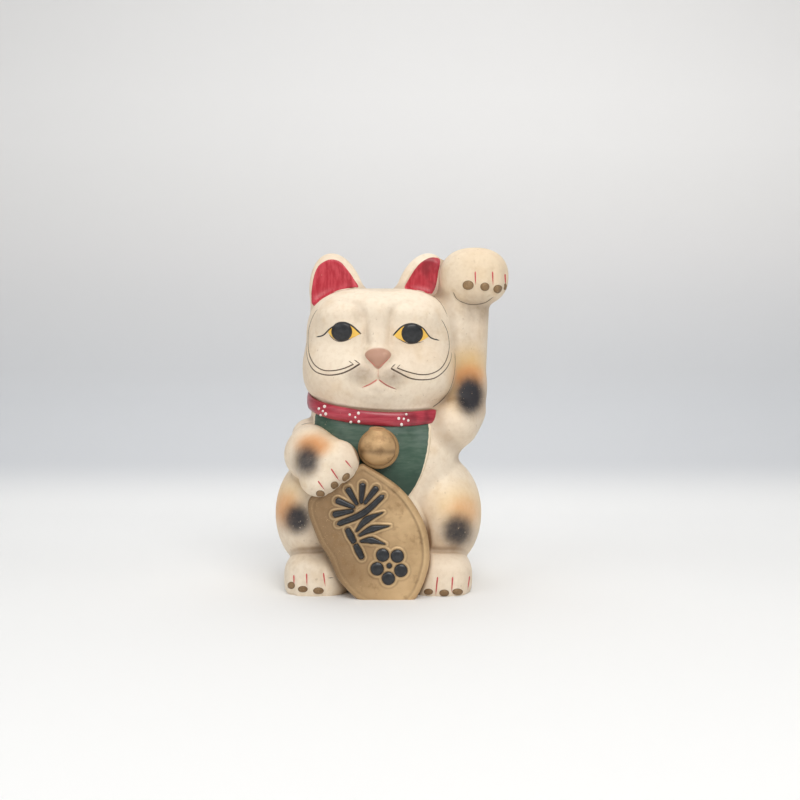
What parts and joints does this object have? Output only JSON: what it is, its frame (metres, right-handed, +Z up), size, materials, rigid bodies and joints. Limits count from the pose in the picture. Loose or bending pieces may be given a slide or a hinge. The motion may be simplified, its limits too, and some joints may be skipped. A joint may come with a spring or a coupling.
{
  "type": "lucky cat coin bank",
  "caption": "Seated lucky cat coin bank of painted clay with a raised paw, a gold koban, a bell on a collar, a coin slot behind the shoulders and a stopper below.",
  "frame": {"origin": "centre of the bounding box's underside, on the table", "axes": "+Z up, the cat faces -Y, its raised arm is on the +X side"},
  "size_m": [0.1544, 0.1236, 0.22],
  "materials": {
    "cream_paint": "aged matt paint on clay",
    "gold_paint": "worn gold paint on clay",
    "bell_paint": "worn gold paint on clay",
    "red_paint": "satin paint on clay",
    "green_paint": "satin paint on clay",
    "bare_clay": "bare fired clay",
    "stopper_rubber": "matt moulded rubber"
  },
  "bodies": {
    "bank": {"front_casting": "cream_paint", "rear_casting": "cream_paint", "raised_arm": "cream_paint", "lowered_arm": "cream_paint", "koban_plaque": "gold_paint", "bell": "bell_paint", "collar": "red_paint", "bib": "green_paint", "floor_slab": "bare_clay"},
    "stopper": {"stopper": "stopper_rubber"}
  },
  "joints": [
    {"name": "stopper_pull", "type": "slide", "parent": "bank", "child": "stopper", "axis": [0, 0, -1], "range_m": [0, 0.025]}
  ]
}
